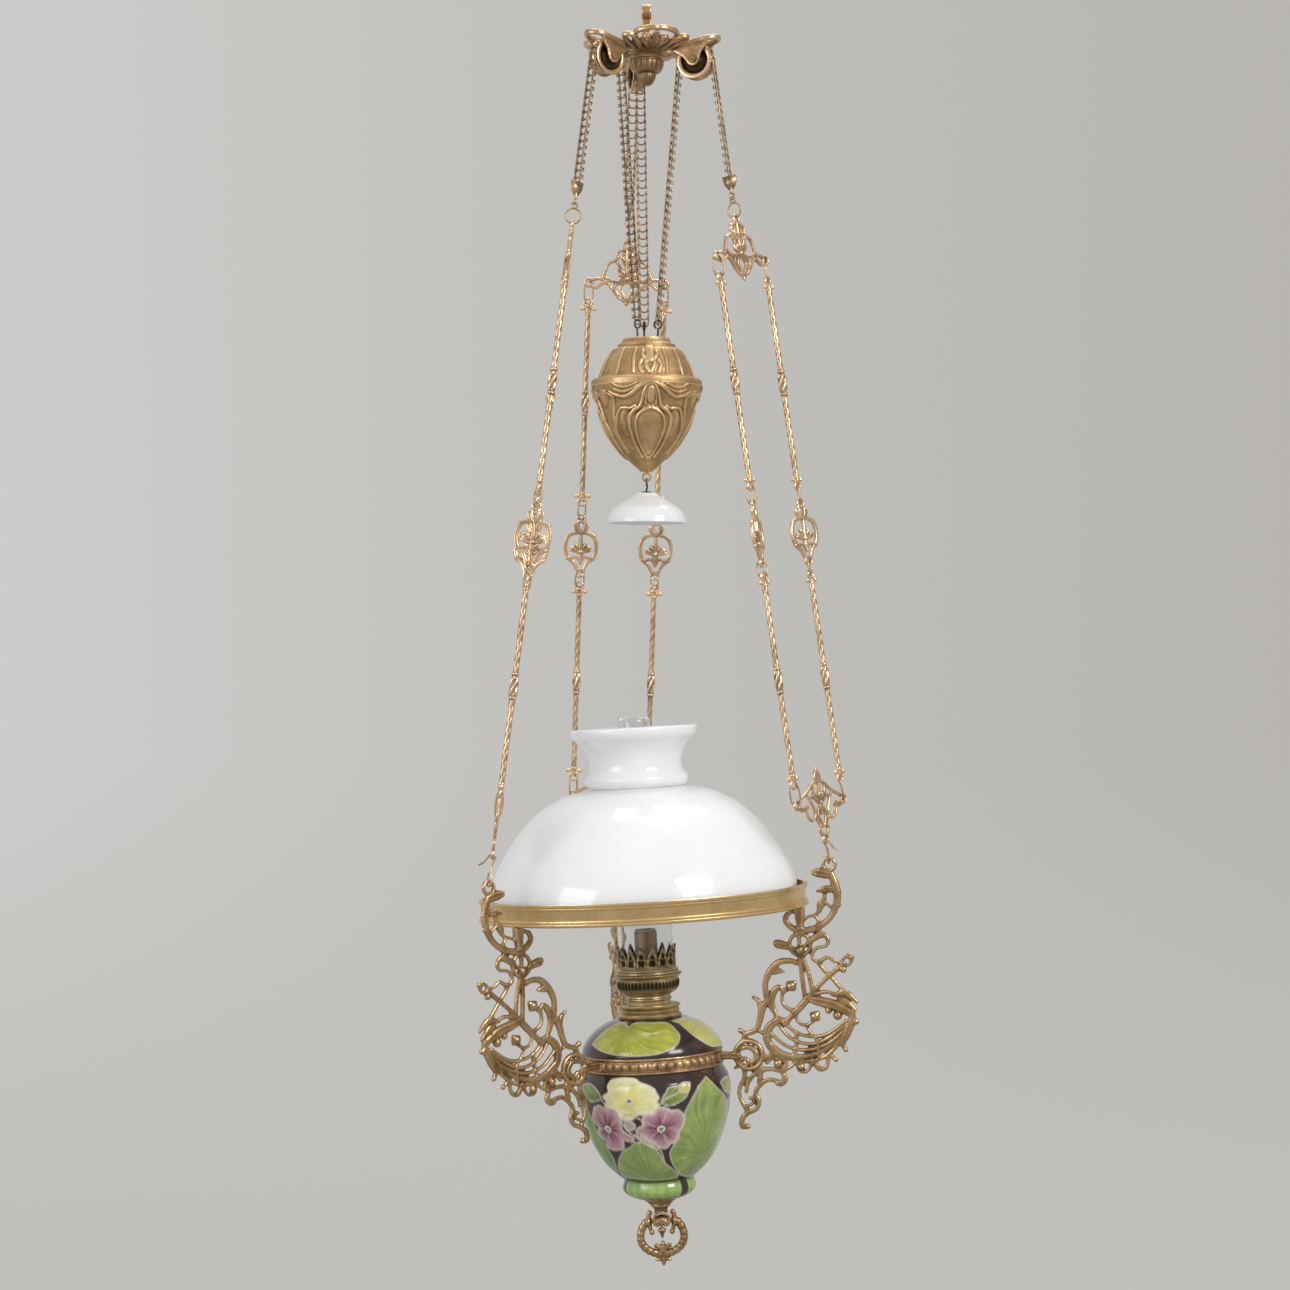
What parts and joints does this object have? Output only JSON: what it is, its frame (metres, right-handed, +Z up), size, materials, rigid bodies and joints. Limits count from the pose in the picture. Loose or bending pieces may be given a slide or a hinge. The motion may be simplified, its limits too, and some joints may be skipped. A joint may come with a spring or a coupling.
{
  "type": "hanging oil lamp",
  "caption": "Rise-and-fall paraffin lamp with openwork brass arms, opal dome shade, glazed vase, counterweight with smoke bell, and chain legs over corona pulleys.",
  "frame": {"origin": "centre of the hanging eye, where the lamp is held", "axes": "+Z up, +X along the hole of the hanging eye and to the right in the front view, +Y away from the viewer"},
  "size_m": [0.3632, 0.3624, 1.2177],
  "materials": {
    "gilt_brass": "aged gilt bronze paint on cast brass, worn",
    "satin_brass": "satin",
    "antique_gold": "antique gold, matt in the hollows",
    "burner_brass": "polished with tarnish",
    "dark_steel": "dark iron wire",
    "ballast_iron": "rough",
    "opal_glass": "opal white, glossy",
    "clear_glass": "clear",
    "majolica": "dark brown glaze with coloured flowers and leaves in low relief",
    "cotton": "woven"
  },
  "bodies": {
    "corona": {"hanging_loop": "gilt_brass", "corona_casting": "gilt_brass", "corona_drop": "gilt_brass", "pulley_axles": "dark_steel", "pulley_chains": "gilt_brass"},
    "pulley_back": {"pulley_back": "gilt_brass"},
    "pulley_left": {"pulley_left": "gilt_brass"},
    "pulley_right": {"pulley_right": "gilt_brass"},
    "lamp": {"chain_outer_back": "gilt_brass", "chain_outer_left": "gilt_brass", "chain_outer_right": "gilt_brass", "leg_links_back": "gilt_brass", "leg_links_left": "gilt_brass", "leg_links_right": "gilt_brass", "upper_yoke_back": "gilt_brass", "upper_yoke_left": "gilt_brass", "upper_yoke_right": "gilt_brass", "upper_rods_back": "gilt_brass", "upper_rods_left": "gilt_brass", "upper_rods_right": "gilt_brass", "medallions_back": "gilt_brass", "medallions_left": "gilt_brass", "medallions_right": "gilt_brass", "lower_rods_back": "gilt_brass", "lower_rods_left": "gilt_brass", "lower_rods_right": "gilt_brass", "lower_yoke_back": "gilt_brass", "lower_yoke_left": "gilt_brass", "lower_yoke_right": "gilt_brass", "arm_back": "gilt_brass", "arm_left": "gilt_brass", "arm_right": "gilt_brass", "shade_ring": "satin_brass", "vase_band": "gilt_brass", "vase_bowl": "majolica", "foot_bolt": "gilt_brass", "foot_cap": "gilt_brass", "handle_mount": "gilt_brass"},
    "pull_ring": {"pull_ring": "gilt_brass"},
    "shade": {"shade": "opal_glass"},
    "font": {"font_dome": "majolica", "oil_tank": "burner_brass", "font_collar": "burner_brass", "burner_base": "burner_brass", "gallery_crown": "burner_brass", "wick_tube": "burner_brass"},
    "wick": {"wick": "cotton"},
    "wick_knob": {"wick_knob": "burner_brass"},
    "chimney": {"chimney": "clear_glass"},
    "counterweight": {"weight_lid": "antique_gold", "weight_bowl": "antique_gold", "weight_ballast": "ballast_iron", "weight_hooks": "dark_steel", "weight_eye": "antique_gold", "chain_inner_back": "gilt_brass", "chain_inner_left": "gilt_brass", "chain_inner_right": "gilt_brass"},
    "smoke_bell": {"bell_hook": "dark_steel", "bell_glass": "opal_glass"}
  },
  "joints": [
    {"name": "lamp_travel", "type": "slide", "parent": "corona", "child": "lamp", "axis": [0, 0, 1], "range_m": [-0.19, 0.05], "deforming": ["chain_outer_back", "chain_outer_left", "chain_outer_right"]},
    {"name": "counterweight_travel", "type": "slide", "parent": "corona", "child": "counterweight", "axis": [0, 0, 1], "range_m": [-0.05, 0.19], "deforming": ["chain_inner_back", "chain_inner_left", "chain_inner_right"]},
    {"name": "pulley_back_turn", "type": "hinge", "parent": "corona", "child": "pulley_back", "pos_m": [-0.00954, 0.04908, -0.051], "axis": [-0.9816, -0.1908, 0], "range_deg": [-180, 665]},
    {"name": "pulley_left_turn", "type": "hinge", "parent": "corona", "child": "pulley_left", "pos_m": [-0.03773, -0.0328, -0.051], "axis": [0.6561, -0.7547, 0], "range_deg": [-180, 665]},
    {"name": "pulley_right_turn", "type": "hinge", "parent": "corona", "child": "pulley_right", "pos_m": [0.04728, -0.01628, -0.051], "axis": [0.3256, 0.9455, 0], "range_deg": [-180, 665]},
    {"name": "shade_lift", "type": "slide", "parent": "lamp", "child": "shade", "axis": [-0.0561, 0.0193, 0.9982], "range_m": [0, 0.04]},
    {"name": "font_lift", "type": "slide", "parent": "lamp", "child": "font", "axis": [-0.0561, 0.0193, 0.9982], "range_m": [0, 0.03]},
    {"name": "chimney_lift", "type": "slide", "parent": "font", "child": "chimney", "axis": [-0.0561, 0.0193, 0.9982], "range_m": [0, 0.03]},
    {"name": "wick_turn", "type": "hinge", "parent": "font", "child": "wick_knob", "pos_m": [0.00248, 0.02915, -0.9524], "axis": [0.0005, 0.9998, -0.0193], "range_deg": [0, 110]},
    {"name": "wick_raise", "type": "slide", "parent": "font", "child": "wick", "axis": [-0.0561, 0.0193, 0.9982], "range_m": [0, 0.0066]},
    {"name": "pull_ring_swing", "type": "hinge", "parent": "lamp", "child": "pull_ring", "pos_m": [0.01444, -0.00497, -1.16505], "axis": [0.9984, 0.0005, 0.0561], "range_deg": [-75, 75]},
    {"name": "smoke_bell_swing", "type": "hinge", "parent": "counterweight", "child": "smoke_bell", "pos_m": [0, 0, -0.4489], "axis": [0, 1, 0], "range_deg": [-25, 25]}
  ],
  "couplings": [
    {"joint": "counterweight_travel", "follows": "lamp_travel", "ratio": -1},
    {"joint": "pulley_back_turn", "follows": "lamp_travel", "rad_per_m": -60.606},
    {"joint": "pulley_left_turn", "follows": "lamp_travel", "rad_per_m": -60.606},
    {"joint": "pulley_right_turn", "follows": "lamp_travel", "rad_per_m": -60.606},
    {"joint": "wick_raise", "follows": "wick_turn", "m_per_rad": 0.0034}
  ]
}
